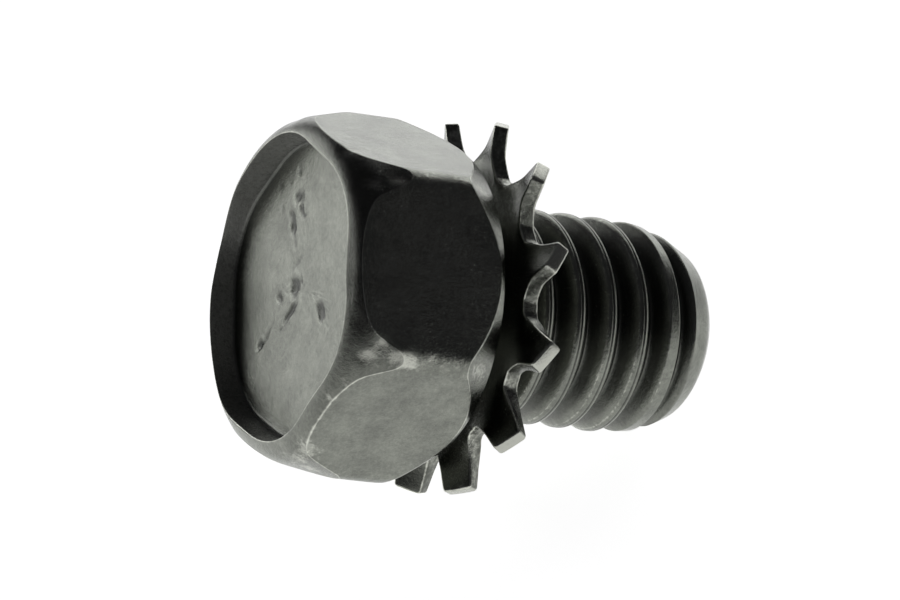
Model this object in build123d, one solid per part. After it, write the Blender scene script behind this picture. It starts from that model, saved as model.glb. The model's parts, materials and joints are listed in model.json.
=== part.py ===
"""Indented hex head screw with its captive external tooth lock washer, 3/8-16 UNC x 1/2 in, in mm.

The screw is drawn about its own axis: bearing face at height 0, head below it, thread above it, and
one wrench flat facing the +X direction. Both pieces are then laid down together as the screw comes
to rest: on its point and on the two lowest washer teeth, with the floor at height 0.
"""
from build123d import *

import os
from math import atan2, ceil, cos, degrees, hypot, pi, radians, sin, tan

# Thread
inch = 25.4
nominal_diameter = 0.375 * inch
threads_per_inch = 16
thread_diameter = 9.35            # over the crests, as rolled and blackened
flank_angle = 60                  # degrees between the two flanks
screw_length = 12.6               # from the bearing face to the point
first_groove = 2.85               # middle of the groove where it starts behind the washer
crest_height = 1.124              # height of a crest on the side of the +X flat

# Point, where the crests fade and the blank is tapered, with a round end
fade_start = 8.9
taper_start = 10.9
taper_start_diameter = 8.9
taper_end_diameter = 7.7
point_rounding = 0.6

# Neck that carries the washer
neck_diameter = 8.60
neck_length = 2.25
shoulder_length = 0.22
neck_fillet = 0.30

# Head
across_flats = 14.1
head_height = 7.3
corner_rounding = 1.05
crown_start_diameter = 12.1
crown_rounding = 1.37             # rounds the top edge of the head
crown_slope = 77                  # degrees, where the round runs into the steep side over the corners
crown_bow = 0.05                  # the steep side bulges by this much
crown_offset = 0.30               # the forging die pressed the crown this far off the axis
crown_offset_turn = -108          # degrees from the +X flat to that side
bearing_diameter = 13.8
bearing_chamfer_angle = 32        # degrees from the axis, under the corners
bearing_chamfer_bow = 0.04        # the chamfer bulges by this much, as a forged one does

# Recess in the top of the head
recess_across_flats = 12.8
recess_corner_rounding = 4.5
recess_depth = 1.5
recess_draft = 9.5                # degrees
recess_floor_fillet = 0.45
recess_offset = 0.15              # away from the side the crown is pressed to

# Washer ring
washer_gap = 1.225                # from the bearing face to the ring
washer_thickness = 0.75
washer_clearance = 0.075          # between bore and neck, per side
ring_diameter = 12.5
washer_diameter = 16.5            # over the teeth
washer_lean = 2.1                 # degrees that the loose washer leans on the neck

# Washer teeth
tooth_count = 12
tooth_phase = -6.84               # degrees from the +X flat to the nearest tooth
tooth_twist = 32                  # degrees, about the tooth's own length, from its root to its end
tooth_step = 0.03                 # the teeth are this much thinner than the ring on each face
tooth_bury = 0.60                 # how far a tooth starts inside the ring
tooth_bury_width = 2.70
tooth_root_width = 2.45
tooth_middle_width = 1.70
tooth_end_width = 1.35
tooth_end_thickness = 0.64
tooth_root_twist = 0.1            # share of the twist already made at the root
tooth_middle_twist = 0.66
tooth_middle_reach = 0.4          # share of the tooth's length at its middle section

# Solids run past each other by this much where one is joined to or cut from another
overrun = 0.1

# Derived sizes
thread_pitch = inch / threads_per_inch
thread_radius = thread_diameter / 2
basic_depth = 0.61343 * thread_pitch
root_radius = nominal_diameter / 2 - basic_depth
flank_slope = tan(radians(flank_angle / 2))
crest_width = thread_pitch / 8 + (nominal_diameter - thread_diameter) * flank_slope
root_width = thread_pitch / 8
neck_radius = neck_diameter / 2
bore_diameter = neck_diameter + 2 * washer_clearance
washer_middle = washer_gap + washer_thickness / 2
quarter_circle = [pi / 8 * step for step in range(5)]   # angles of the rounds on turned outlines

# Rest on the floor: two neighbouring teeth and the last full crest touch it, and the head is in the air
twist = radians(tooth_twist)
lean = radians(washer_lean)
corner_across = tooth_end_width / 2 * cos(twist) - tooth_end_thickness / 2 * sin(twist)
corner_up = tooth_end_width / 2 * sin(twist) + tooth_end_thickness / 2 * cos(twist)
corner_reach = hypot(washer_diameter / 2, corner_across) * cos(pi / tooth_count)
rest_turn = tooth_phase + 180 / tooth_count - degrees(atan2(corner_across, washer_diameter / 2))
contact_radius = corner_reach * cos(lean) + corner_up * sin(lean)
contact_height = washer_middle + corner_up * cos(lean) - corner_reach * sin(lean)
rest_tilt = atan2(contact_radius - taper_start_diameter / 2, taper_start - contact_height)


def rounded_hexagon(width, rounding):
    """Hexagon measured across its flats, with round corners and a flat facing +X."""
    outline = RegularPolygon(width / 2, 6, major_radius=False, rotation=30)
    return fillet(outline.vertices(), rounding)


def turned(points):
    """Solid turned about the screw's axis from a closed outline of (radius, height) pairs."""
    outline = Polyline(*[(radius, 0, height) for radius, height in points], close=True)
    return revolve(make_face(outline), Axis.Z)


def bowed(start, end, bow):
    """Arc between two (radius, height) points that bulges outwards by a small amount at its middle."""
    reach = hypot(end[0] - start[0], end[1] - start[1])
    middle_radius = (start[0] + end[0]) / 2 + bow * (end[1] - start[1]) / reach
    middle_height = (start[1] + end[1]) / 2 + bow * (start[0] - end[0]) / reach
    return ThreePointArc((start[0], 0, start[1]), (middle_radius, 0, middle_height), (end[0], 0, end[1]))


def crown():
    """Turned envelope of the head's top: flat, then a round edge, then a steep side over the corners."""
    top = -head_height
    inner = crown_start_diameter / 2
    outer = across_flats / 2 / cos(pi / 6) + crown_offset
    slope = radians(crown_slope)
    half = slope / 2
    edge = (inner + crown_rounding * sin(slope), top + crown_rounding * (1 - cos(slope)))
    side = (outer, edge[1] + (outer - edge[0]) * tan(slope))
    outline = Wire([
        Line((0, 0, top), (inner, 0, top)),
        ThreePointArc(
            (inner, 0, top),
            (inner + crown_rounding * sin(half), 0, top + crown_rounding * (1 - cos(half))),
            (edge[0], 0, edge[1]),
        ),
        bowed(edge, side, crown_bow),
        Line((outer, 0, side[1]), (outer, 0, overrun)),
        Line((outer, 0, overrun), (0, 0, overrun)),
        Line((0, 0, overrun), (0, 0, top)),
    ])
    return off_axis(crown_offset) * revolve(Face(outline), Axis.Z)


def off_axis(distance):
    """Shift square to the axis, towards the side that the crown was pressed to."""
    turn = radians(crown_offset_turn)
    return Pos(distance * cos(turn), distance * sin(turn), 0)


def chamfer():
    """Turned envelope of the head's underside, with a steep chamfer up to the bearing face."""
    outer = across_flats / 2 / cos(pi / 6)
    bearing = bearing_diameter / 2
    height = (outer - bearing) / tan(radians(bearing_chamfer_angle))
    base = -head_height - overrun
    outline = Wire([
        Line((0, 0, base), (outer, 0, base)),
        Line((outer, 0, base), (outer, 0, -height)),
        bowed((outer, -height), (bearing, 0), bearing_chamfer_bow),
        Line((bearing, 0, 0), (0, 0, 0)),
        Line((0, 0, 0), (0, 0, base)),
    ])
    return revolve(Face(outline), Axis.Z)


def recess():
    """Shallow rounded hexagon pressed into the head's top, with drafted walls and a round at its floor."""
    top = -head_height
    inset = recess_depth * tan(radians(recess_draft))
    floor = rounded_hexagon(recess_across_flats - 2 * inset, recess_corner_rounding - inset)
    mouth = rounded_hexagon(recess_across_flats, recess_corner_rounding)
    hollow = loft([Plane.XY.offset(top + recess_depth) * floor, Plane.XY.offset(top) * mouth])
    return off_axis(-recess_offset) * fillet(hollow.faces().sort_by(Axis.Z)[-1].edges(), recess_floor_fillet)


def head():
    """Hexagon with round corners, trimmed by its turned envelopes and hollowed by the recess."""
    outline = Plane.XY.offset(-head_height) * rounded_hexagon(across_flats, corner_rounding)
    return (extrude(outline, head_height) & crown() & chamfer()) - recess()


def neck():
    """Neck under the head, with a small round where it meets the bearing face."""
    flare = [
        (neck_radius + neck_fillet * (1 - sin(turn)), neck_fillet * (1 - cos(turn)))
        for turn in quarter_circle
    ]
    return turned([
        (0, -neck_fillet),
        (neck_radius + neck_fillet, -neck_fillet),
        *flare,
        (neck_radius, neck_length + overrun),
        (0, neck_length + overrun),
    ])


def thread_groove(turns):
    """V groove with a narrow flat root, carried along a right hand helix from behind the washer."""
    outside = thread_radius + overrun
    half_mouth = (thread_pitch - crest_width) / 2 + overrun * flank_slope
    outline = Wire.make_polygon([
        (outside, 0, -half_mouth),
        (root_radius, 0, -root_width / 2),
        (root_radius, 0, root_width / 2),
        (outside, 0, half_mouth),
    ])
    turn = Helix(thread_pitch, thread_pitch, root_radius)
    path = Wire([Pos(0, 0, thread_pitch * index) * turn for index in range(turns)])
    groove = sweep(Face(outline), path, is_frenet=True)
    angle = 360 * (first_groove - crest_height - thread_pitch / 2) / thread_pitch
    return Pos(0, 0, first_groove) * Rot(0, 0, angle) * groove


def point_envelope(base):
    """Turned envelope of the threaded length: shoulder, full crests, fading crests and rounded point."""
    fade_slope = (thread_radius - taper_start_diameter / 2) / (taper_start - fade_start)
    shoulder = neck_length + shoulder_length
    point = [
        (
            taper_end_diameter / 2 - point_rounding * (1 - cos(turn)),
            screw_length - point_rounding * (1 - sin(turn)),
        )
        for turn in quarter_circle
    ]
    return turned([
        (0, base),
        (neck_radius - overrun, base),
        (neck_radius, neck_length),
        (thread_radius, shoulder),
        (thread_radius + overrun, shoulder + overrun),
        (thread_radius + overrun, fade_start - overrun / fade_slope),
        (thread_radius, fade_start),
        (taper_start_diameter / 2, taper_start),
        *point,
        (0, screw_length),
    ])


def threaded_length():
    """Rod with the thread cut along it, trimmed to its envelope."""
    base = neck_length - thread_pitch / 2
    turns = ceil((screw_length + thread_pitch - first_groove) / thread_pitch)
    top = first_groove + thread_pitch * (turns + 1)
    rod = Pos(0, 0, (base + top) / 2) * Cylinder(thread_radius, top - base)
    return (rod - thread_groove(turns)) & point_envelope(base - overrun)


def screw():
    """Head, neck and thread in one piece of steel."""
    return head() + neck() + threaded_length()


def tooth():
    """One tooth pointing along +X, widest at the ring and twisted about its own length."""
    root = ring_diameter / 2 - tooth_step
    length = washer_diameter / 2 - root
    thick = washer_thickness - 2 * tooth_step
    sections = []
    for reach, width, thickness, twist_share in (
        (root - tooth_bury, tooth_bury_width, thick, 0.0),
        (root, tooth_root_width, thick, tooth_root_twist),
        (root + tooth_middle_reach * length, tooth_middle_width, thick, tooth_middle_twist),
        (root + length, tooth_end_width, tooth_end_thickness, 1.0),
    ):
        across = Plane(origin=(reach, 0, 0), x_dir=(0, 1, 0), z_dir=(1, 0, 0))
        blank = Rectangle(width, thickness)
        sections.append(across * Rot(0, 0, -tooth_twist * twist_share) * blank)
    return loft(sections)


def washer():
    """Flat ring with its twisted teeth, leaning on the neck as the two teeth on the floor push it."""
    ring = Cylinder(ring_diameter / 2, washer_thickness)
    ring -= Cylinder(bore_diameter / 2, washer_thickness + 2 * overrun)
    blank = tooth()
    teeth = [Rot(0, 0, tooth_phase + 360 / tooth_count * index) * blank for index in range(tooth_count)]
    leaning = Rot(0, 0, rest_turn) * Rot(0, washer_lean, 0) * Rot(0, 0, -rest_turn)
    return Pos(0, 0, washer_middle) * leaning * (ring + teeth)


def laid_down(pieces):
    """The pieces as they lie on the floor, centred over the origin, with the point towards +X."""
    lying = Plane(
        origin=(0, 0, 0),
        x_dir=(-sin(rest_tilt), 0, -cos(rest_tilt)),
        z_dir=(cos(rest_tilt), 0, -sin(rest_tilt)),
    )
    placed = {name: lying.location * Rot(0, 0, -rest_turn) * piece for name, piece in pieces.items()}
    box = Compound(children=list(placed.values())).bounding_box()
    lift = Pos(-box.center().X, -box.center().Y, -box.min.Z)
    return {name: lift * piece for name, piece in placed.items()}


os.makedirs("parts", exist_ok=True)
for name, piece in laid_down({"screw": screw(), "toothed_washer": washer()}).items():
    solid = piece.solids()[0]
    print(name, len(piece.solids()), "solid, volume", round(solid.volume, 2), "mm3")
    export_step(solid, f"parts/{name}.step")
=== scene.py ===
# %% [markdown]
# # A sems bolt, rebuilt as it lies on a pale table
#
# A sems bolt is a machine screw that carries its own lock washer. The washer is slipped over the blank
# before the thread is rolled, so it can turn but never come off. This lesson dresses a finished
# engineering model of such a bolt: a 3/8 inch screw with a rounded hex head, a recess pressed into the
# top of the head, a coarse thread, and a washer with twelve twisted teeth. Everything is black oxide
# steel that has rubbed down to bright metal along its edges.
#
# The engineering model is loaded first and never moved. It says where the screw's axis runs and where
# the washer sits, so every surface below is worked out about that axis.

# %% Load the frame
import json
from math import atan2, cos, degrees, pi, radians, sin, tan

import bpy
import numpy as np
from mathutils import Matrix, Vector


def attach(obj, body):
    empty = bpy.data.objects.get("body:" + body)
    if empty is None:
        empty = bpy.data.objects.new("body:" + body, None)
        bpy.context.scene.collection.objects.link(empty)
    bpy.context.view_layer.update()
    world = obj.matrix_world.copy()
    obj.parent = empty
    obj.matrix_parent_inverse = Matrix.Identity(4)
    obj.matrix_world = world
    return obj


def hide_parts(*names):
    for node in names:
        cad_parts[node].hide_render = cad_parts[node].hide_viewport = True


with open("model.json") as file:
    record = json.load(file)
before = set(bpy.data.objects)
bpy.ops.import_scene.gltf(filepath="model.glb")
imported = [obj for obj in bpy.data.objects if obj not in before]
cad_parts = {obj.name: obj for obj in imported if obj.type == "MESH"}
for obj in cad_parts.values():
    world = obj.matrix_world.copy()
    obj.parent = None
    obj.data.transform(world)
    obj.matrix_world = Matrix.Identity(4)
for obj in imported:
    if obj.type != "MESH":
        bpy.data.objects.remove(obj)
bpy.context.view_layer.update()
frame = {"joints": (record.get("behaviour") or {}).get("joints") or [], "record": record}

MM = 0.001  # the frame is in metres


def in_mm(lengths):
    """Lengths in millimetres with two decimals, for printing."""
    return np.round(np.asarray(lengths) / MM, 2).tolist()


# %% [markdown]
# ## The bolt's own axes
#
# Sizes on a bolt are easiest to give about its axis: how far from the bearing face of the head, how far
# from the axis, and at what angle round it. The model's record holds the axis of the thread, a wrench
# flat and the axis that the washer spins about, and those fix the bolt's own coordinates. Below, `along`
# runs from the bearing face towards the point, and `turn` is measured from one flat of the head. The
# washer is loose on its neck and leans a little, so its axis is kept apart from the screw's.

# %% Work out the bolt's axes
washer_middle = 1.6 * MM  # from the bearing face to the middle of the washer
back_flat_turn = radians(60)  # where the record's back flat lies round the axis

spin = frame["joints"][0]
mounts = {mount["name"]: mount for mount in frame["record"]["mounts"]}
axis_along = np.array(mounts["thread"]["axis"])
back_flat = np.array(mounts["wrench_flat_back"]["axis"])
axis_across = cos(back_flat_turn) * back_flat - sin(back_flat_turn) * np.cross(axis_along, back_flat)
axis_side = np.cross(axis_along, axis_across)
bearing_centre = np.array(spin["pos_m"]) - washer_middle * axis_along
washer_axis = np.array(spin["axis"])
washer_lean = np.arccos(washer_axis @ axis_along)


def placed(x, y, z):
    """Points in the frame: the bearing face's centre, plus x across, y to the side and z along."""
    return bearing_centre + (
        np.asarray(x)[..., None] * axis_across
        + np.asarray(y)[..., None] * axis_side
        + np.asarray(z)[..., None] * axis_along
    )


print("bearing face at", in_mm(bearing_centre), "mm")
print("washer leans", round(degrees(washer_lean), 2), "degrees")

# %% [markdown]
# ## The camera
#
# The photograph was taken from the head's side with a long lens, so the bolt shows little perspective:
# a circle near the point looks almost as large as one near the head. The view was measured on the
# bolt itself, from the spacing and bow of the thread crests. It gives how far the axis leans away from
# the camera, how much it drops to the right, and how the bolt is turned about its axis. The bolt lies
# still, so the camera is placed about it.

# %% Find the camera's directions
axis_leans_away = 0.518175  # radians, away from the picture plane
axis_drops = 0.103733  # radians, downwards in the picture
flat_turned_away = radians(108.06)  # from the near side of the axis to the flat that turns start at


def camera_axes():
    """Right, down and forward of the camera, in the frame.

    The axis has known components in the camera's own directions. The near side of the bolt is the
    direction to the camera with its part along the axis taken out, and the upper side is square to
    both. The flat is turned from the near side by the measured angle, which fixes all three.
    """
    axis = np.array([
        cos(axis_leans_away) * cos(axis_drops),
        sin(axis_drops),
        sin(axis_leans_away) * cos(axis_drops),
    ])
    near = np.array([0.0, 0.0, -1.0]) + axis[2] * axis
    near /= np.linalg.norm(near)
    upper = np.cross(near, axis)
    across = cos(flat_turned_away) * near - sin(flat_turned_away) * upper
    side = np.cross(axis, across)
    seen = np.stack([across, side, axis])
    return seen.T @ np.stack([axis_across, axis_side, axis_along])


right, down, forward = camera_axes()
print("camera looks down by", round(degrees(atan2(-forward[2], np.hypot(*forward[:2]))), 1), "degrees")

# %% Place the camera
focal_length = 256.0  # mm
sensor_width = 36.0  # mm
nearest_seen = 0.02  # metres
farthest_seen = 20.0
bearing_in_view = MM * np.array([-1.125, 0.183, 275.858])  # right, down and away

camera_place = bearing_centre - bearing_in_view @ np.stack([right, down, forward])
camera_data = bpy.data.cameras.new("camera")
camera_data.lens = focal_length
camera_data.sensor_width = sensor_width
camera_data.clip_start = nearest_seen
camera_data.clip_end = farthest_seen
camera = bpy.data.objects.new("camera", camera_data)
bpy.context.scene.collection.objects.link(camera)
camera_turn = Matrix(np.stack([right, -down, -forward], axis=1).tolist())
camera.matrix_world = Matrix.Translation(camera_place) @ camera_turn.to_4x4()
bpy.context.scene.camera = camera
print("camera stands at", in_mm(camera_place), "mm")

# %% [markdown]
# ## Building surfaces from grids
#
# Forged, rolled and stamped steel is all smooth sweeps and small rounds, so every surface here is a grid
# of points worked out by formula: rows along a profile, columns round the axis. Two helpers do the
# common work. One runs a profile through its corner points and rounds each corner. The other turns a
# grid into a closed mesh, joining the points that fall on the same place, such as the two ends of a turn
# or all the points at the middle of a round face. The last gives the slight waves that real steel has.

# %% Blends and bells
def smooth_step(low, high, value):
    """0 below low, 1 above high and an S curve between them."""
    share = np.clip((value - low) / (high - low), 0.0, 1.0)
    return share * share * (3.0 - 2.0 * share)


def bump(distance, width):
    """Bell of height 1 and the given half width: 2 to the power of -(distance / width) squared."""
    return np.exp2(-(distance / width) ** 2)


def angle_between(turn, other):
    """Smallest signed angle between two turns, in radians."""
    return (turn - other + pi) % (2 * pi) - pi


print("a bell is", bump(1.0, 1.0), "high at its half width")

# %% Round the corners of a profile
no_length = 1e-9  # keeps the division sound where two corners share a place
round_shares = (0.25, 0.5, 0.75, 1.0)  # where the rows of a round lie


def way_between(start, end):
    """Direction from one point to another: the difference divided by its own length."""
    way = end - start
    return way / np.maximum(np.linalg.norm(way, axis=-1, keepdims=True), no_length)


def rounded_profile(corners):
    """Rows of a profile through its corner points, with each corner rounded.

    A corner is (radius, along, rounding, steps): two arrays of one value a column, how far the round
    reaches back along both sides, and how many rows lie between this corner and the next. A round is
    the parabola (1 - t)^2 A + 2 t (1 - t) V + t^2 B, from A before the corner V to B after it.
    """
    shape = np.broadcast_shapes(*[np.shape(value) for corner in corners for value in corner[:2]])
    points = [np.stack([np.broadcast_to(v, shape) for v in corner[:2]], axis=-1) for corner in corners]
    rows = [points[0]]
    for index in range(1, len(points)):
        here = points[index]
        rounding = corners[index][2]
        start = rows[-1]
        stop = here - rounding * way_between(points[index - 1], here)
        for share in np.linspace(0, 1, corners[index - 1][3] + 1)[1:]:
            rows.append(start + share * (stop - start))
        if rounding > 0:
            end = here + rounding * way_between(here, points[index + 1])
            for t in round_shares:
                rows.append((1 - t) ** 2 * stop + 2 * t * (1 - t) * here + t ** 2 * end)
    return np.stack(rows)


print("a rounded corner takes", len(round_shares), "rows")

# %% Turn a grid into a closed mesh
same_place = 0.0002 * MM  # points that fall within this are joined


def closed_mesh(name, points, values):
    """One mesh from a grid of points (rows, columns, 3), with points on the same place joined.

    A face is a triangle where two of its corners are joined, and is left out where more are. The
    values are arrays of one number a grid point, kept under their own names.
    """
    rows, columns = points.shape[:2]
    keys = np.round(points.reshape(-1, 3) / same_place).astype(np.int64)
    first, joined = np.unique(keys, axis=0, return_index=True, return_inverse=True)[1:]
    joined = joined.reshape(rows, columns)
    quads = np.stack([joined[:-1, :-1], joined[:-1, 1:], joined[1:, 1:], joined[1:, :-1]], axis=-1)
    quads = quads.reshape(-1, 4)
    stays = np.stack([quads[:, k] != quads[:, (k + 1) % 4] for k in range(4)], axis=1)
    whole = quads[stays.all(axis=1)]
    three = stays.sum(axis=1) == 3
    faces = whole.tolist() + quads[three][stays[three]].reshape(-1, 3).tolist()
    mesh = bpy.data.meshes.new(name)
    mesh.from_pydata(points.reshape(-1, 3)[first].tolist(), [], faces)
    mesh.shade_smooth()
    for label, value in values.items():
        layer = mesh.attributes.new(label, "FLOAT", "POINT")
        layer.data.foreach_set("value", np.asarray(value, np.float32).reshape(-1)[first])
    piece = bpy.data.objects.new(name, mesh)
    bpy.context.scene.collection.objects.link(piece)
    triangles = 2 * len(whole) + int(three.sum())
    print(name, "has", len(mesh.vertices), "points and", triangles, "triangles")
    return piece


print("points within", same_place / MM, "mm of each other become one")

# %% Waves of uneven steel
octaves = 3
waves_each = 9  # in one octave, each in its own direction
finer_each = 1.9  # how much finer and lower the waves of the next octave are
wave_total = 6.0  # brings the sum to between -1 and 1

rng = np.random.default_rng(16)
wave_ways = rng.normal(size=(octaves, waves_each, 3))
wave_ways /= np.linalg.norm(wave_ways, axis=-1, keepdims=True)
wave_starts = rng.uniform(0, 2 * pi, size=(octaves, waves_each))


def unevenness(points, size):
    """Gentle random height from -1 to 1 at points in space: sums of sine waves in random directions."""
    total = np.zeros(points.shape[:-1])
    for octave in range(octaves):
        finer = finer_each ** octave
        for way, start in zip(wave_ways[octave], wave_starts[octave]):
            total += np.sin(points @ way * (2 * pi / size * finer) + start) / finer
    return total / wave_total


print("the steel waves in", octaves * waves_each, "ways")

# %% [markdown]
# ## The head
#
# The head of this bolt was upset cold: a slug of wire was squeezed between a hexagonal die and a punch.
# The punch leaves the shallow recess in the top. The steel doesn't quite fill the die, so the top edge
# and the corners stay round, and the whole crown sits a little off the axis. Seen from the end, the flats
# meet the crown in shallow arcs that drop towards every corner.
#
# A turned shape cut by six flats can be written as one profile whose corner points move in and out with
# the turn. So the rows below run from the middle of the recess, up its wall, over the lip and the crown,
# down the flat and under the head to the neck. The columns crowd together at the corners of the hexagon,
# where the shape turns fastest.

# %% Columns round the axis
flats = 6
columns_per_flat = 50
crowding = 0.6  # how much closer the columns stand at the corners

share = np.linspace(-1, 1, columns_per_flat, endpoint=False)
within = pi / flats * (share + crowding * np.sin(pi * share) / pi)
turns = (2 * pi / flats * np.arange(flats)[:, None] + within).reshape(-1)
turns = np.append(turns, turns[0] + 2 * pi)
near_turn = -flat_turned_away  # the side of the axis that faces the camera
print(len(turns), "columns, closest", round(degrees(np.diff(turns).min()), 2), "degrees apart")

# %% Hexagons with round corners
across_flats = 14.1 * MM
corner_rounding = 1.05 * MM
lip_half = 6.35 * MM  # from the axis to the middle of a side of the recess, at its lip
lip_rounding = 4.5 * MM
floor_half = 6.20 * MM
floor_rounding = 4.8 * MM
recess_offset = -0.22 * MM  # towards the camera, so the recess sits a little away from it


def hexagon_radius(turn, half, rounding):
    """Distance from the axis to a hexagon with round corners, at each turn.

    On a flat it is half / cos(t), with t from the flat's middle. On a corner it is the far crossing
    with the corner's circle, whose centre is (half - rounding) / cos(30 degrees) out.
    """
    t = np.abs(angle_between(turn * flats, 0)) / flats
    centre = (half - rounding) / cos(pi / flats)
    off = pi / flats - t
    arc = centre * np.cos(off) + np.sqrt(np.maximum(rounding ** 2 - (centre * np.sin(off)) ** 2, 0))
    tangent = np.arctan2((half - rounding) * tan(pi / flats), half)
    return np.where(t <= tangent, half / np.cos(t), arc)


def recess_radius(half, rounding):
    """Outline of the recess at each turn: a hexagon with round corners, set off the axis."""
    return hexagon_radius(turns, half, rounding) + recess_offset * np.cos(turns - near_turn)


flat_radius = hexagon_radius(turns, across_flats / 2, corner_rounding)
lip_radius = recess_radius(lip_half, lip_rounding)
floor_radius = recess_radius(floor_half, floor_rounding)
print("across corners", in_mm(2 * flat_radius.max()), "mm")

# %% [markdown]
# ## The crown
#
# The crown is the rounded top edge that the flats cut through: a gently sloping rim, a round, and then a
# steep side. The die was filled a little better on both sides of the far corner, so the crown is fuller
# there by two bells. It is written as a function of the length along its section, so that the lip and
# the flats can cut it off anywhere and the rows between them still follow it.

# %% Section of the crown
rim_slope = radians(15)  # the rim falls away a little even next to the recess
crown_start = 6.38 * MM  # radius where the rim runs into the round edge
crown_top = -7.185 * MM  # height there
crown_rounding = 1.42 * MM
crown_slope = radians(77)  # where the round ends and the steep side begins
crown_offset = 0.30 * MM  # towards the camera
fuller_by = 0.18 * MM
fuller_at = radians(120)  # from the camera's side, both ways
fuller_half = radians(27)


def crown_radius(turn):
    """Where the rim ends, at each turn: a circle off the axis, fuller by two bells on the far side."""
    full = fuller_by * bump(np.abs(angle_between(turn, near_turn)) - fuller_at, fuller_half)
    return crown_start + crown_offset * np.cos(turn - near_turn) + full


def crown_length(out):
    """Length along the crown from the end of the rim, for a distance out from there.

    Rim and steep side give distance / cos(slope), and the round gives its radius times its angle.
    """
    arc_out = np.clip(out, 0, crown_rounding * (sin(crown_slope) - sin(rim_slope)))
    arc = crown_rounding * (np.arcsin(arc_out / crown_rounding + sin(rim_slope)) - rim_slope)
    steep = np.maximum(out - arc_out, 0) / cos(crown_slope)
    return np.minimum(out, 0) / cos(rim_slope) + arc + steep


def crown_point(length, turn):
    """Radius and height on the crown, for a length along it: sloping rim, round, then steep side."""
    rim = np.minimum(length, 0)
    angle = rim_slope + np.clip(length / crown_rounding, 0, crown_slope - rim_slope)
    steep = np.maximum(length - crown_rounding * (crown_slope - rim_slope), 0)
    arc_out = crown_rounding * (np.sin(angle) - sin(rim_slope))
    arc_drop = crown_rounding * (cos(rim_slope) - np.cos(angle))
    out = rim * cos(rim_slope) + arc_out + steep * cos(crown_slope)
    drop = rim * sin(rim_slope) + arc_drop + steep * sin(crown_slope)
    return crown_radius(turn) + out, crown_top + drop


print("the crown's round starts", in_mm(crown_radius(turns).min()), "mm from the axis or farther")

# %% Divide the crown into rows
crown_rows = 12

from_lip = crown_length(lip_radius - crown_radius(turns))
to_flat = crown_length(flat_radius - crown_radius(turns))
crown_corners = []
for step in range(crown_rows + 1):
    radius, along = crown_point(from_lip + (to_flat - from_lip) * step / crown_rows, turns)
    crown_corners.append((radius, along, 0.0, 1))
lip = crown_corners[0]
crease = crown_corners[-1]  # where a flat cuts the crown
print("the crease lies", in_mm([-crease[1].max(), -crease[1].min()]), "mm above the bearing face")

# %% [markdown]
# ## The rows of the head
#
# Each corner point of the profile gets the round that forging and handling leave on it: a tight one
# where the crown was pinched against the flat, a wider one at the foot of the recess wall.

# %% Lay the rows of the head
recess_floor = -5.8 * MM
bearing_radius = 6.9 * MM
neck_radius = 4.30 * MM
thread_start = 2.25 * MM  # the neck ends here
chamfer_slope = radians(32)  # of the side under the flats, from the axis
foot_round = 0.16 * MM
edge_round = 0.07 * MM  # on the lip, the crease and the bearing face
back_round = 0.09 * MM  # on the lower edge of the flats
neck_round = 0.3 * MM

chamfer_top = -(flat_radius - bearing_radius) / tan(chamfer_slope)
profile = rounded_profile([
    (0 * turns, recess_floor, 0.0, 44),  # across the floor
    (floor_radius, recess_floor, foot_round, 5),  # up the wall
    (lip[0], lip[1], edge_round, 1),  # over the crown
    *crown_corners[1:-1],
    (crease[0], crease[1], edge_round, 9),  # down the flat
    (flat_radius, chamfer_top, back_round, 3),  # down the chamfer
    (bearing_radius, 0.0, edge_round, 4),  # in along the bearing face
    (neck_radius, 0.0, neck_round, 4),  # along the neck
    (neck_radius, thread_start, 0.0, 0),
])
head_radius, head_along = profile[..., 0], profile[..., 1]
print("the head has", len(profile), "rows of", len(turns), "points")

# %% [markdown]
# ## The thread
#
# A rolled thread is squeezed up out of the blank by two dies. The steel rises from both sides of every
# crest and closes over a fine seam, so each crest shows two rounded lips. Near the point the blank is
# tapered, the dies are never filled, and the crests fade.
#
# The grid for it is a ribbon: its rows climb by one pitch a turn, so that they run along the crests and
# never cut across them, and the end of a turn meets the start of the turn above. The ribbon's height
# above the blank is the same everywhere, and a turned envelope trims it to the neck and to the point.
#
# $r = \min(\text{envelope}(z), R - g(z)\,d(\tau)), \quad z = \tau + p\,\theta / 2\pi$

# %% Shape of one crest
pitch = 25.4 / 16 * MM  # sixteen threads to the inch
crest_radius = 4.675 * MM
root_radius = 3.80 * MM
crest_half = 0.20 * MM  # from the middle of a crest to where its flank begins
shoulder_round = 0.28 * MM  # between crest and flank
root_round = 0.30 * MM  # between flank and root
seam_depth = 0.04 * MM
seam_half = 0.022 * MM
flank_slope = tan(radians(30))


def soft_least(a, b, blend):
    """The lesser of two heights, with a round of the given size where they cross."""
    near = np.maximum(blend - np.abs(a - b), 0) / blend
    return np.minimum(a, b) - near * near * blend / 4


def crest_depth(out):
    """How far the surface lies below the crest, by distance from the crest's middle.

    It is the flank's fall, (distance - half the crest) / tan(30 degrees), kept between crest and root
    by two soft limits, plus a narrow bell for the seam.
    """
    flank = (np.abs(out) - crest_half) / flank_slope
    depth = -soft_least(-flank, 0.0, shoulder_round)
    depth = soft_least(depth, crest_radius - root_radius, root_round)
    return depth + seam_depth * bump(out, seam_half)


print("the thread is", in_mm(crest_depth(pitch / 2)), "mm deep between two crests")

# %% Envelope of the threaded length
end_rows = 8  # across the flat end of the point
end_squeeze = 3  # the ribbon crosses the end this many times as fast

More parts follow.
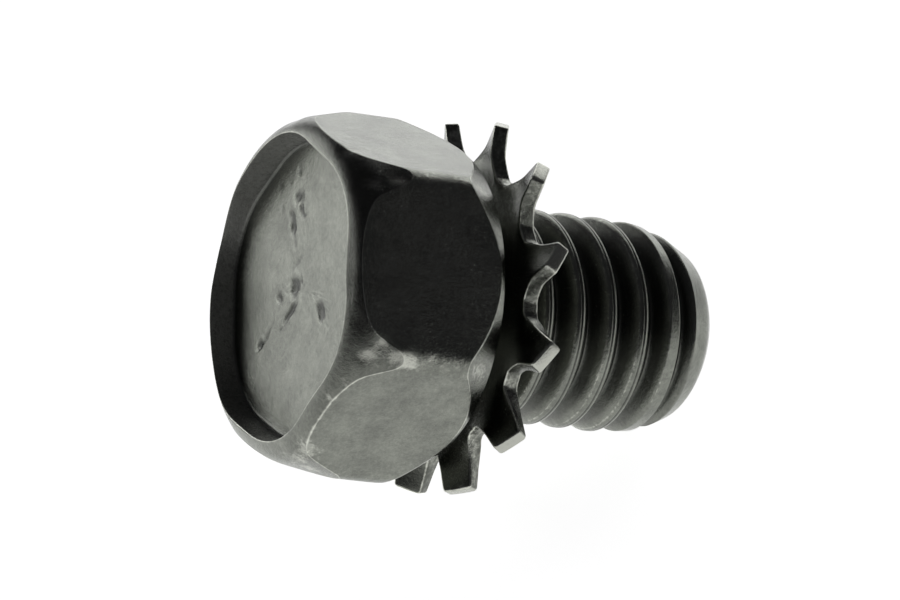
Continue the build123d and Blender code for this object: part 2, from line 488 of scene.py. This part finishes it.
envelope = rounded_profile([
    (neck_radius, thread_start, 0.0, 4),
    (crest_radius, thread_start + 0.22 * MM, 0.08 * MM, 4),  # the full thread
    (crest_radius, 8.9 * MM, 0.5 * MM, 4),  # a slight taper
    (4.46 * MM, 10.9 * MM, 0.3 * MM, 4),  # a steeper one
    (3.88 * MM, 12.1 * MM, 0.25 * MM, 4),  # the rounded tip
    (3.20 * MM, 12.6 * MM, 0.15 * MM, end_rows),  # the flat end
    (0.0, 12.6 * MM, 0.0, 0),
])
lengths = np.append(0, np.cumsum(np.linalg.norm(np.diff(envelope, axis=0), axis=-1)))
end_starts = lengths[-end_rows - 1]
squeezed = end_starts + (lengths - end_starts) / end_squeeze
travel = thread_start + np.where(lengths > end_starts, squeezed, lengths)
print("the ribbon climbs to", in_mm(travel[-1]), "mm")

# %% Lay the ribbon of the thread
crest_at = 1.124 * MM  # height of a crest at turn 0
first_below = 1.5 * pitch  # the first row starts this far below the thread
steps_out = np.array([0, 0.022, 0.05, 0.09, 0.14, 0.19, 0.23, 0.27, 0.32, 0.46, 0.64, 0.73]) * MM

rows_out = np.concatenate([-steps_out[:0:-1], steps_out, [pitch / 2]])
first_crest = int(np.floor((thread_start - first_below - crest_at) / pitch))
last_crest = int(np.ceil((travel[-1] - crest_at) / pitch)) + 1
crests = np.arange(first_crest, last_crest + 1)
row_height = (crest_at + pitch * crests[:, None] + rows_out).reshape(-1)
row_out = np.tile(rows_out, len(crests))
climb = np.clip(row_height[:, None] + pitch * turns / (2 * pi), travel[0], travel[-1])
print("the thread has", len(row_height), "rows over", len(crests), "crests")

# %% [markdown]
# ## The run-in and the worn point
#
# Behind the washer the thread grows to its full depth within a turn, because the dies run off the blank
# there. At the other end one side of the point is worn more than the rest, so the envelope is drawn in
# on that side before it trims the ribbon.

# %% Trim the ribbon
run_in_length = 0.75 * pitch
worn_middle = near_turn - radians(80)
worn_half = radians(45)
worn_by = 0.20 * MM
worn_from, worn_to = 9.8 * MM, 11.6 * MM
kept_radius = 2 * MM  # the wear fades towards the middle of the end


def bell_round(middle, half):
    """Bell of the turn round the axis: 1 at its middle and 1/2 at its half width, in radians."""
    return bump(angle_between(turns, middle), half)


limit = np.interp(climb, travel, envelope[:, 0])
worn = worn_by * bell_round(worn_middle, worn_half) * smooth_step(worn_from, worn_to, climb)
limit = limit - worn * smooth_step(0, kept_radius, limit)
run_in = smooth_step(thread_start, thread_start + run_in_length, climb)
cut = crest_radius - run_in * crest_depth(row_out)[:, None]
thread_radius = np.minimum(limit, cut)
thread_along = np.interp(climb, travel, envelope[:, 1])
print("the point is drawn in by up to", in_mm(worn.max()), "mm")

# %% [markdown]
# ## Marks of forging and handling
#
# Cold forged steel is never quite flat: the faces wave by a hundredth of a millimetre or so, which is
# what breaks up the reflections on them. The floor of the recess carries scars of the punch, and the
# edges have nicks from tumbling with other bolts. The marks are pressed into the grid itself, so they
# catch the light as real dents do.

# %% Scars on the floor of the recess
floor_dents = [
    (-3.2, 2.8, 0.24, 0.2, 60, 0.08), (-2.9, 2.3, 0.18, 0.12, 120, 0.07),
    (-1.95, 2.6, 0.42, 0.16, 140, 0.08), (-2.7, 1.9, 0.16, 0.1, 60, 0.05),
    (-0.7, 1.4, 0.62, 0.1, 33, 0.03), (0.2, 1.05, 0.36, 0.24, 70, 0.08),
    (0.55, 0.95, 0.2, 0.3, 10, 0.05), (1.15, 2.1, 0.2, 0.15, 120, 0.07),
    (1.3, 0.8, 0.48, 0.13, 26, 0.08), (0.28, -1.67, 0.36, 0.27, 99, 0.09),
    (3.0, 2.3, 0.55, 0.13, 21, 0.03), (3.62, 2.58, 0.17, 0.15, 20, 0.08),
    (-3.1, 4.6, 0.12, 0.1, 20, 0.04), (-4.2, 3.3, 0.14, 0.1, 60, 0.04),
    (-4.0, 3.8, 0.1, 0.08, 10, 0.03), (-2.3, 3.9, 0.1, 0.08, 130, 0.03),
    (3.9, -1.9, 0.14, 0.1, 60, 0.02), (-1.2, -3.6, 0.12, 0.08, 30, 0.02),
]  # x, y, half length and half width, direction in degrees, depth, in mm
torn_size = 0.6  # mm, size of the ragged parts of a scar's edge
torn_share = 0.5
rim_share, rim_at, rim_half = 0.15, 1.9, 0.5  # share of the depth, place and half width
floor_only = 0.02 * MM  # scars end where the floor starts to rise
middle_from, middle_to = 0.10 * MM, 0.45 * MM  # and fade where all the columns meet


def dent_depth(x, y):
    """Depth of the punch scars at places on the recess floor.

    Each is a bell of the distance inside a slanted oval, 2^-(q^2) with q = 1 on the oval's edge. The
    edge wanders, as torn steel does, and a low rim stands just outside.
    """
    total = np.zeros(x.shape)
    wander = unevenness(np.stack([x, y, 0 * x], axis=-1), torn_size)
    for x0, y0, length, width, slant, depth in floor_dents:
        way_x, way_y = cos(radians(slant)), sin(radians(slant))
        ahead = ((x - x0) * way_x + (y - y0) * way_y) / length
        beside = ((y - y0) * way_x - (x - x0) * way_y) / width
        q = np.hypot(ahead, beside) * (1 + torn_share * wander)
        total += depth * (bump(q, 1.0) - rim_share * bump(q - rim_at, rim_half))
    return total


head_x = head_radius * np.cos(turns)
head_y = head_radius * np.sin(turns)
scars = dent_depth(head_x / MM, head_y / MM) * smooth_step(middle_from, middle_to, head_radius)
scars[np.abs(head_along - recess_floor) > floor_only] = 0
print(len(floor_dents), "scars, the deepest", round(scars.max(), 3), "mm")

# %% Nicks on the edges
edge_nicks = [
    (-148, -6.4, 0.35, 0.06), (-149, -5.2, 0.3, 0.05), (-94, -5.9, 0.3, 0.08), (-89, -6.4, 0.25, 0.06),
    (-91, -4.7, 0.3, 0.07), (-92, -3.3, 0.2, 0.04), (-86, -0.4, 0.3, 0.05), (-43, -6.5, 0.35, 0.06),
    (-165, -6.8, 0.3, 0.05), (-69, -7.1, 0.25, 0.04), (-100, -7.1, 0.3, 0.04), (-130, -7.2, 0.35, 0.03),
    (150, -6.6, 0.4, 0.06), (90, -6.2, 0.4, 0.07), (30, -6.0, 0.4, 0.06), (-30, -1.6, 0.3, 0.06),
]  # turn in degrees, along, half width and depth, in mm


def head_distance(place, height):
    """Distance in mm on the head from a place given as its turn in degrees and its mm along.

    It is the root of (angle times radius) squared plus (difference along) squared.
    """
    round_way = angle_between(turns, radians(place)) * head_radius / MM
    return np.hypot(round_way, head_along / MM - height)


nicks = np.zeros(head_radius.shape)
for place, height, width, depth in edge_nicks:
    nicks += depth * bump(head_distance(place, height), width)
print(len(edge_nicks), "nicks, the deepest", round(nicks.max(), 3), "mm")

# %% Press the marks in
wave_size, fine_size = 2.6 * MM, 0.8 * MM
end_wave = 0.008 * MM  # height of the waves, along the axis
side_wave = 0.006 * MM  # and square to it
fine_share = 0.4

wave = unevenness(placed(head_x, head_y, head_along), wave_size)
fine_wave = unevenness(placed(head_x, head_y, head_along), fine_size)
outside = smooth_step(0.2 * MM, 0.6 * MM, head_radius - lip_radius)
above_bearing = 1 - smooth_step(-0.8 * MM, 0.0, head_along)
marked_along = head_along + MM * scars + end_wave * wave * above_bearing
marked_radius = head_radius - MM * outside * nicks * above_bearing
marked_radius = marked_radius + side_wave * (wave + fine_share * fine_wave) * outside * above_bearing
moved = np.hypot(marked_along - head_along, marked_radius - head_radius)
print("the marks move the surface by up to", in_mm(moved.max()), "mm")

# %% [markdown]
# ## Where the finish has worn, and the painted shade
#
# The black skin goes first where bolts knock together: along the lip, the crease between crown and flat,
# the corners, and the crests of the thread. So every point of the mesh carries four numbers for the
# steel to read. `edge` is the distance from the nearest edge in tenths of a millimetre, divided by how
# worn that edge is. `rub` is for patches away from edges. The third number is painted shade: it darkens
# the cores of the scars, the thread grooves and seams, the foot of the recess wall and the crown's side
# nearer the camera. `dust` is for powder on the recess wall.

# %% Wear along the edges of the head
wear_unit = 0.1 * MM
back_wear, bearing_wear = 0.45, 0.4
crease_wear = 0.8
for middle, half, more in ((-60, 25, 0.5), (-120, 24, -0.30), (180, 33, -0.72)):  # in degrees
    crease_wear = crease_wear + more * bell_round(radians(middle), radians(half))
lip_wear = 0.45 + 0.30 * bell_round(radians(-105), radians(50))

steps_along = np.linalg.norm(np.diff(profile, axis=0), axis=-1)
path = np.concatenate([0 * turns[None], np.cumsum(steps_along, axis=0)])


def row_at(radius, along):
    """The row that passes nearest to a point of the profile, judged on the first column."""
    return int(np.argmin(np.abs(head_radius[:, 0] - radius) + np.abs(head_along[:, 0] - along)))


def from_row(row):
    """Distance along the profile from one of its rows, in tenths of a millimetre."""
    return np.abs(path - path[row]) / wear_unit


lip_row = row_at(lip_radius[0], lip[1][0])
crease_row = row_at(flat_radius[0], crease[1][0])
back_row = row_at(flat_radius[0], chamfer_top[0])
bearing_row = row_at(bearing_radius, 0.0)
head_edge = np.minimum.reduce([
    from_row(lip_row) / lip_wear,
    from_row(crease_row) / crease_wear,
    from_row(back_row) / back_wear,
    from_row(bearing_row) / bearing_wear,
])
print("edges run along the rows", lip_row, crease_row, back_row, bearing_row)

# %% Places rubbed bare on the head
worn_places = [
    (-147, -6.3, 0.22, 0.5), (-148, -5.2, 0.2, 0.45), (-152, -6.0, 0.15, 0.4),
    (-94, -5.9, 0.3, 0.55), (-89, -6.4, 0.22, 0.55), (-90, -4.7, 0.35, 0.5),
    (-93, -3.5, 0.25, 0.42), (-93, -2.3, 0.25, 0.42), (-86, -0.5, 0.35, 0.3),
    (-88, -1.1, 0.3, 0.28), (-43, -6.5, 0.45, 0.5), (-36, -6.3, 0.4, 0.45),
    (-137, -0.4, 0.25, 0.45), (-150, -0.9, 0.3, 0.28), (-69, -7.0, 0.15, 0.45),
    (-78, -6.8, 0.15, 0.45), (-30, -5.5, 0.3, 0.4), (-91, -5.3, 0.2, 0.5),
]  # turn in degrees, along, half width, strength
corner_rub = 0.20
corner_half = radians(3.5)

corner_turn = np.abs(np.abs(angle_between(turns * flats, 0)) / flats - pi / flats)
head_rub = corner_rub * bump(corner_turn, corner_half) * outside * smooth_step(0.0, -0.6 * MM, head_along)
for place, height, width, strength in worn_places:
    head_rub = head_rub + strength * outside * bump(head_distance(place, height), width)
print(len(worn_places), "rubbed places, the strongest", round(head_rub.max(), 2))

# %% Painted shade and dust on the head
dark_depth = 0.055  # mm, a scar this deep gets its painted shade right through
scar_shade = 0.85  # at most
crown_shade = 0.8
foot_shade = 0.75
foot_width = 1.6  # tenths of a millimetre
wall_dust = 0.8

# Painted shade on the crown: darker on its side nearer the camera, between the lip and the crease, high on
# the head.
crown_shade_side = bell_round(near_turn - radians(35), radians(60))
beyond_lip = smooth_step(0.03 * MM, 0.2 * MM, head_radius - lip_radius)
high_up = smooth_step(-3.0 * MM, -5.0 * MM, head_along)
on_crown = beyond_lip * high_up * (path < path[crease_row]) * crown_shade_side
# Painted shade along the foot of the recess wall, where it meets the floor.
foot_row = int(np.argmax(head_along[:, 0] < recess_floor - 0.03 * MM))
# Painted shade in the scars grows with their depth, up to its limit at dark_depth.
head_shade = np.maximum(np.clip(scars / dark_depth, 0, scar_shade), crown_shade * on_crown)
head_shade = np.maximum(head_shade, foot_shade * bump(from_row(foot_row), foot_width))
on_wall = smooth_step(recess_floor, recess_floor - 0.2 * MM, head_along) * (path < path[lip_row])
head_dust = wall_dust * on_wall
print("head painted shade up to", round(head_shade.max(), 2))

# %% Wear and painted shade of the thread
rolled_lip = 0.22 * MM  # from the middle of a crest to the top of each of its lips
crest_keeps = 0.35  # even there a little of the skin is left
not_an_edge = 6  # far enough for no wear at all
seam_shade = 0.8
seam_width = 0.03 * MM
groove_shade = 0.76
point_rub = 0.30

trimmed = cut - limit  # how far the envelope lies inside the thread's own form
thread_edge = crest_keeps + np.abs(np.abs(row_out) - rolled_lip)[:, None] / wear_unit
thread_edge = thread_edge + not_an_edge * smooth_step(0.0, 0.12 * MM, trimmed) + not_an_edge * (1 - run_in)
# Painted shade: the seam on each crest and the deep part of each groove are darkened, fading where the
# envelope trims the thread and towards the point.
seam = seam_shade * bump(row_out, seam_width)[:, None] * run_in * smooth_step(0.02 * MM, 0, trimmed)
groove = smooth_step(0.10 * MM, 0.55 * MM, crest_radius - thread_radius)
groove = groove * smooth_step(0.05 * MM, 0, trimmed) * smooth_step(12.0 * MM, 10.4 * MM, thread_along)
thread_shade = np.maximum(seam, groove_shade * groove)
thread_rub = point_rub * smooth_step(11.9 * MM, 12.3 * MM, thread_along)
print("thread painted shade up to", round(thread_shade.max(), 2))

# %% Join head and thread into one surface
radius = np.concatenate([marked_radius[:-1], thread_radius])
along = np.concatenate([marked_along[:-1], thread_along])
screw_points = placed(radius * np.cos(turns), radius * np.sin(turns), along)
screw_piece = closed_mesh("screw_surface", screw_points, {
    "edge": np.concatenate([head_edge[:-1], thread_edge]),
    "rub": np.concatenate([head_rub[:-1], thread_rub]),
    "painted_shade": np.concatenate([head_shade[:-1], thread_shade]),
    "dust": np.concatenate([head_dust[:-1], 0 * thread_radius]),
})

# %% [markdown]
# ## The lock washer
#
# The washer is stamped from thin spring steel with twelve teeth round its outside, and each tooth is
# then twisted about its own length. When the bolt is tightened, one corner of every tooth bites into the
# head and the other into the work.
#
# Its outline is a star: a round notch, a straight side, a tooth end, and the same back again. The grid
# runs along that outline and, across it, round the section of the sheet. The twist is a rotation about
# the middle line of each tooth that grows from nothing in the ring to its full angle at the tooth's end.

# %% Outline of the washer
teeth = 12
tooth_turn = radians(-6.84)  # from the flat that turns start at to the nearest tooth
notch_radius, notch_half, notch_round = 6.22 * MM, 1.26 * MM, 0.20 * MM
waist_radius, waist_half, waist_round = 7.03 * MM, 0.85 * MM, 0.35 * MM
tip_radius, tip_half, tip_round = 8.25 * MM, 0.675 * MM, 0.16 * MM

half_tooth = rounded_profile([
    (notch_radius, pi / teeth * notch_radius, 0.0, 3),
    (notch_radius, notch_half, notch_round, 4),
    (waist_radius, waist_half, waist_round, 5),
    (tip_radius, tip_half, tip_round, 5),
    (tip_radius, 0.0, 0.0, 0),
])
side_radius = half_tooth[:, 0]
side_turn = half_tooth[:, 1] / side_radius
one_radius = np.concatenate([side_radius, side_radius[-2:0:-1]])
one_turn = np.concatenate([-side_turn, side_turn[-2:0:-1]])
middles = tooth_turn + 2 * pi / teeth * np.arange(teeth)
rim_radius = np.tile(one_radius, teeth)
rim_turn = (middles[:, None] + one_turn).reshape(-1)
rim = np.stack([rim_radius * np.cos(rim_turn), rim_radius * np.sin(rim_turn)], axis=-1)
run = np.roll(rim, -1, axis=0) - np.roll(rim, 1, axis=0)
run /= np.linalg.norm(run, axis=-1, keepdims=True)
rim_out = np.stack([run[:, 1], -run[:, 0]], axis=-1)
print(len(rim), "points along the outline of the washer")

# %% Rows round the section of the sheet
bore_radius = 4.375 * MM
sheet = 0.75 * MM
rim_round, bore_round = 0.11 * MM, 0.10 * MM
round_rows = 5
face_rows = 14


def rounded_side(inner, rounding, out):
    """Rows of a quarter round from the sheet's face to the middle of its side, as (place, height).

    A place is the inner line plus rounding * sin(angle) outwards. A height, in halves of the sheet, is
    1 on the face and less by rounding * (1 - cos(angle)).
    """
    return [(inner + rounding * np.sin(angle) * out, 1 - 2 * rounding / sheet * (1 - np.cos(angle)))
            for angle in np.linspace(0, pi / 2, round_rows)]


bore = bore_radius * np.stack([np.cos(rim_turn), np.sin(rim_turn)], axis=-1)
bore_out = -bore / bore_radius
inner_rim = rim - rim_round * rim_out
inner_bore = bore - bore_round * bore_out
shares = np.linspace(0, 1, face_rows + 2)[1:-1]
face = [(inner_bore + (inner_rim - inner_bore) * share, 1.0) for share in shares]
upper = rounded_side(inner_bore, bore_round, bore_out)[::-1] + face
upper = upper + rounded_side(inner_rim, rim_round, rim_out)
section = upper + [(place, -height) for place, height in upper[::-1]] + upper[:1]
flat_place = np.stack([place for place, height in section])
flat_place = np.concatenate([flat_place, flat_place[:, :1]], axis=1)
section_height = np.array([height for place, height in section])[:, None]
print("the washer's grid is", flat_place.shape[0], "by", flat_place.shape[1])

# %% Twist the teeth
tooth_twist = radians(32)
twist_radii = [5.7, 6.22, 7.03, 8.25]  # mm
twist_there = [0.0, 0.12, 0.66, 1.0]  # shares of the full twist
no_twist, own_twist = 1.62 * MM, 1.15 * MM  # from a tooth's middle line
tip_sheet = 0.64 * MM  # the teeth are thinner at their ends

reach = np.linalg.norm(flat_place, axis=-1)
turn = np.arctan2(flat_place[..., 1], flat_place[..., 0])
nearest = np.round((turn - tooth_turn) * teeth / (2 * pi)) * 2 * pi / teeth + tooth_turn
across = reach * np.sin(turn - nearest)
outward = reach * np.cos(turn - nearest)
twist_share = np.interp(outward / MM, twist_radii, twist_there)
twist_share = twist_share * smooth_step(no_twist, own_twist, np.abs(across))
thickness = np.interp(outward, [notch_radius, tip_radius], [sheet, tip_sheet])
height = section_height * thickness / 2
angle = -tooth_twist * twist_share
twisted_across = across * np.cos(angle) - height * np.sin(angle)
twisted_height = across * np.sin(angle) + height * np.cos(angle)
washer_x = outward * np.cos(nearest) - twisted_across * np.sin(nearest)
washer_y = outward * np.sin(nearest) + twisted_across * np.cos(nearest)
print("twisted, the washer is", in_mm(twisted_height.max() - twisted_height.min()), "mm high")

# %% Lean the washer on its neck
lean_way = washer_axis - (washer_axis @ axis_along) * axis_along
lean_turn = atan2(lean_way @ axis_side, lean_way @ axis_across)
down_part = washer_x * cos(lean_turn) + washer_y * sin(lean_turn)
side_part = washer_y * cos(lean_turn) - washer_x * sin(lean_turn)
leaned_down = down_part * cos(washer_lean) + twisted_height * sin(washer_lean)
leaned_height = twisted_height * cos(washer_lean) - down_part * sin(washer_lean)
washer_points = placed(
    leaned_down * cos(lean_turn) - side_part * sin(lean_turn),
    leaned_down * sin(lean_turn) + side_part * cos(lean_turn),
    washer_middle + leaned_height,
)
print("leaned, it is", in_mm(leaned_height.max() - leaned_height.min()), "mm high")

# %% Wear of the washer and its mesh
no_wear = 9.0
rim_edge = [1.0, 0.4, 0.0, 0.2, 0.6]  # tenths of a millimetre from the rim, row by row
tip_wear, notch_wear = 0.55, 0.12

face_edge = np.concatenate([np.full(round_rows + face_rows, no_wear), rim_edge])
rim_rows = np.concatenate([face_edge, face_edge[::-1], face_edge[:1]])
washer_rub = tip_wear * smooth_step(8.1 * MM, 8.23 * MM, outward)
washer_rub = washer_rub + notch_wear * smooth_step(6.1 * MM, 6.3 * MM, outward)
washer_piece = closed_mesh("washer_surface", washer_points, {
    "edge": np.broadcast_to(rim_rows[:, None], washer_x.shape),
    "rub": washer_rub,
})

# %% [markdown]
# ## What each surface stands for
#
# Every new piece rides on a body, so that it moves with it when the washer is spun. And it replaces a
# solid of the engineering model, which is then hidden.

# %% Tell the frame what the surfaces stand for
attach(screw_piece, "screw_body")
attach(washer_piece, "washer_body")
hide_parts("screw")
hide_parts("toothed_washer")
print("both solids are replaced")

# %% [markdown]
# ## Black oxide steel
#
# Black oxide is a skin of magnetite a thousandth of a millimetre thick. Under oil it looks nearly black,
# but it is still a metal: it mirrors whatever stands opposite, only at about a fifth of its brightness.
# So a flat that faces a white wall looks pale and its neighbour that faces the dark room looks black.
#
# The skin rubs off where bolts knock together. One node group holds that for both pieces, and also the
# painted shade of the screw's scars, grooves, seams, recess foot and crown. It takes the four numbers
# that the meshes carry and a tone, breaks them up with noise of three sizes, and gives back the colour
# with its painted shade, the roughness, how metallic the surface is (dust isn't), and a height for fine
# grain.

# %% Sockets of the worn black finish and its painted shade
# One of the inputs carries painted shade, which darkens the colour towards near black.
group_sockets = [
    ("INPUT", "NodeSocketVector", ["Place"]),
    ("INPUT", "NodeSocketFloat", ["Edge", "Rub", "Painted_Shade", "Dust", "Tone"]),
    ("OUTPUT", "NodeSocketColor", ["Color"]),
    ("OUTPUT", "NodeSocketFloat", ["Roughness", "Metallic", "Height"]),
]

finish_and_shade = bpy.data.node_groups.new("worn_black_finish_and_painted_shade", "ShaderNodeTree")
for in_out, kind, labels in group_sockets:
    for label in labels:
        finish_and_shade.interface.new_socket(label, in_out=in_out, socket_type=kind)
given = finish_and_shade.nodes.new("NodeGroupInput").outputs
result = finish_and_shade.nodes.new("NodeGroupOutput").inputs
print(finish_and_shade.name, "has the sockets", [socket.name for socket in finish_and_shade.interface.items_tree])

# %% Noise that breaks up the wear
cloud_size, speck_size, grain_size = 1.3 * MM, 0.20 * MM, 0.08 * MM


def node(tree, kind, values, **settings):
    """A new node with its settings, and its inputs set to numbers or linked to sockets."""
    made = tree.nodes.new(kind)
    for key, value in settings.items():
        setattr(made, key, value)
    for key, value in values.items():
        if isinstance(value, bpy.types.NodeSocket):
            tree.links.new(value, made.inputs[key])
        else:
            made.inputs[key].default_value = value
    return made


def noise(size, detail, rough):
    """Noise over the piece whose features are about the given size, in metres."""
    return node(finish_and_shade, "ShaderNodeTexNoise", {
        "Vector": given["Place"], "Scale": 1 / size, "Detail": detail, "Roughness": rough,
    }).outputs["Fac"]


def combined(operation, a, b):
    """One sum, product or the like of two values."""
    return node(finish_and_shade, "ShaderNodeMath", {0: a, 1: b}, operation=operation).outputs["Value"]


clouds = noise(cloud_size, 6, 0.65)
specks = noise(speck_size, 6, 0.72)
grain = noise(grain_size, 4, 0.75)
uneven = combined("ADD", combined("MULTIPLY", specks, 1.6), combined("MULTIPLY", clouds, 1.2))
print("noise in", len(finish_and_shade.nodes), "nodes")

# %% Where the skin is gone
def mapped(value, low, high, to_low=0.0, to_high=1.0):
    """The value moved from one range to another with a smooth start and end, and kept inside it."""
    return node(finish_and_shade, "ShaderNodeMapRange", {
        "Value": value, "From Min": low, "From Max": high, "To Min": to_low, "To Max": to_high,
    }, interpolation_type="SMOOTHSTEP").outputs["Result"]


at_edge = mapped(combined("SUBTRACT", uneven, given["Edge"]), 0.65, 1.55)
rubbed = mapped(combined("ADD", given["Rub"], combined("MULTIPLY", uneven, 0.6)), 1.02, 1.42)
bared = combined("MAXIMUM", at_edge, combined("MULTIPLY", rubbed, 0.7))
print("wear takes the group to", len(finish_and_shade.nodes), "nodes")

# %% Colours of the finish
oxide = (0.248, 0.259, 0.226, 1)
oxide_dark = (0.129, 0.134, 0.119, 1)
bare_steel = (0.56, 0.57, 0.51, 1)
pale_dust = (0.16, 0.16, 0.152, 1)
black = (0, 0, 0, 1)
# Near black for the painted shade.
painted_shade_dark = (0.02, 0.02, 0.02, 1)
painted_shade_share = 0.85  # how far the strongest painted shade goes towards its dark colour


def mixed(share, one, other):
    """Colour part of the way from one to another. A Mix node's colours are its inputs 6 and 7."""
    return node(finish_and_shade, "ShaderNodeMix", {"Factor": share, 6: one, 7: other}, data_type="RGBA").outputs[2]


mottle = mapped(combined("ADD", clouds, combined("ADD", specks, grain)), 1.05, 1.95)
skin = mixed(given["Tone"], black, mixed(mottle, oxide_dark, oxide))
worn_skin = mixed(bared, skin, bare_steel)
# Painted shade: the skin is mixed towards near black by the painted shade number.
shaded_skin = mixed(combined("MULTIPLY", given["Painted_Shade"], painted_shade_share), worn_skin, painted_shade_dark)
dusty = combined("MULTIPLY", given["Dust"], mapped(specks, 0.3, 0.6, 0.5, 1.0))
print("colours take the group to", len(finish_and_shade.nodes), "nodes")

# %% Outputs of the finish
smoothest, roughest = 0.15, 0.28

outputs = {
    "Color": mixed(dusty, shaded_skin, pale_dust),
    "Metallic": combined("SUBTRACT", 1.0, dusty),
    "Roughness": mapped(grain, 0.25, 0.75, smoothest, roughest),
    "Height": combined("ADD", grain, combined("MULTIPLY", specks, 1.5)),
}
for label, value in outputs.items():
    finish_and_shade.links.new(value, result[label])
print("the node group", finish_and_shade.name, "has", len(finish_and_shade.nodes), "nodes")

# %% [markdown]
# ## The two steels
#
# The washer is hardened spring steel, and its skin comes out darker than the screw's. So each piece gets
# its own material round the same group, with its own tone. The shader stays in the material, and a number
# that is the same all over a piece, such as how metallic the washer is, is set on the shader itself.

# %% Make the two steels
grain_height = 0.010 * MM


def steel(name, piece, tone, marks):
    """Black oxide steel for one piece, with the marks of wear and of painted shade that its mesh carries
    by name.
    """
    material = bpy.data.materials.new(name)
    material.use_nodes = True
    tree = material.node_tree
    shader = tree.nodes["Principled BSDF"].inputs
    finish_and_shade_node = tree.nodes.new("ShaderNodeGroup")
    finish_and_shade_node.node_tree = finish_and_shade
    finish_and_shade_node.inputs["Tone"].default_value = tone
    place = tree.nodes.new("ShaderNodeTexCoord").outputs["Object"]
    tree.links.new(place, finish_and_shade_node.inputs["Place"])
    for mark in marks:
        carried = node(tree, "ShaderNodeAttribute", {}, attribute_name=mark).outputs["Fac"]
        tree.links.new(carried, finish_and_shade_node.inputs[mark.title()])
    relief = node(tree, "ShaderNodeBump", {
        "Height": finish_and_shade_node.outputs["Height"], "Distance": grain_height, "Strength": 1.0,
    })
    tree.links.new(finish_and_shade_node.outputs["Color"], shader["Base Color"])
    tree.links.new(finish_and_shade_node.outputs["Roughness"], shader["Roughness"])
    tree.links.new(relief.outputs["Normal"], shader["Normal"])
    if "dust" in marks:
        tree.links.new(finish_and_shade_node.outputs["Metallic"], shader["Metallic"])
    else:
        shader["Metallic"].default_value = 1.0
    piece.data.materials.append(material)
    return material


screw_steel = steel("screw_black_oxide_painted_shade", screw_piece, 1.0, ["edge", "rub", "painted_shade", "dust"])
washer_steel = steel("washer_black_oxide", washer_piece, 0.62, ["edge", "rub"])
print("materials:", screw_steel.name, "and", washer_steel.name)

# %% [markdown]
# ## Table and light
#
# The bolt lies on a white table in a white cove, lit from behind and above by large soft boxes, with the
# room dark on the camera's side. That is how small dark parts are photographed, because a mirror-like
# surface can only be shaped by what it mirrors. The paper glows by itself, which stands in for the light
# that a cove throws back.

# %% Lay the table
table_reach = 3.0
paper_white = (0.92, 0.92, 0.92, 1)
paper_glow = 0.92

table_mesh = bpy.data.meshes.new("table")
table_corners = [(-table_reach, -table_reach, 0), (table_reach, -table_reach, 0),
                 (table_reach, table_reach, 0), (-table_reach, table_reach, 0)]
table_mesh.from_pydata(table_corners, [], [(0, 1, 2, 3)])
table = bpy.data.objects.new("table", table_mesh)
bpy.context.scene.collection.objects.link(table)
paper = bpy.data.materials.new("white_paper")
paper.use_nodes = True
paper_inputs = paper.node_tree.nodes["Principled BSDF"].inputs
paper_inputs["Base Color"].default_value = paper_white
paper_inputs["Roughness"].default_value = 0.9
paper_inputs["Emission Color"].default_value = (1, 1, 1, 1)
paper_inputs["Emission Strength"].default_value = paper_glow
table_mesh.materials.append(paper)
print("the table is", 2 * table_reach, "m wide")

# %% [markdown]
# ## Soft boxes placed by what the head mirrors
#
# A face of the head shows whatever its mirrored line of sight meets. So each soft box is hung in the
# direction in which one face mirrors the lens, and then moved up a little. The back box is for the top
# of the head, and the left box for its end with the recess.

# %% Hang the soft boxes
box_distance = 1.2  # metres from the bolt


def seen_way(x, y, z):
    """Direction in the frame from its parts to the right, down and away in the picture."""
    way = x * right + y * down + z * forward
    return way / np.linalg.norm(way)


def mirrored(normal):
    """Where a face mirrors the lens, in the picture's directions: sight - 2 (sight . normal) normal."""
    normal = np.array(normal) / np.linalg.norm(normal)
    return np.array([0, 0, 1.0]) - 2 * normal[2] * normal


def soft_box(name, normal, raised, width, height, radiance):
    """Rectangular area light where a face with this normal mirrors it, moved up and facing the bolt."""
    way = seen_way(*mirrored(normal)) + np.array([0, 0, raised])
    way = way / np.linalg.norm(way)
    data = bpy.data.lights.new(name, "AREA")
    data.shape = "RECTANGLE"
    data.size, data.size_y = width, height
    data.energy = radiance * pi * width * height
    light = bpy.data.objects.new(name, data)
    light.location = way * box_distance
    light.rotation_euler = Vector(-way).to_track_quat("-Z", "Y").to_euler()
    bpy.context.scene.collection.objects.link(light)
    print(name, "at", np.round(light.location, 2), "elevation", round(degrees(np.arcsin(way[2])), 1))


soft_box("back_box", (0.265, -0.926, -0.27), 0.34, 1.4, 0.8, 1.58)
soft_box("left_box", (-0.864, -0.104, -0.493), 0.26, 0.9, 0.5, 2.6)

# %% Darken the room
room_dark = (0.05, 0.05, 0.054, 1)

room = bpy.data.worlds.new("dark_room")
bpy.context.scene.world = room
room.use_nodes = True
room.node_tree.nodes["Background"].inputs["Color"].default_value = room_dark
print("world:", room.name)

# %% [markdown]
# ## The last look
#
# A plain view transform shows every colour as it was chosen.

# %% Set the view and finish
bpy.context.scene.view_settings.view_transform = "Standard"
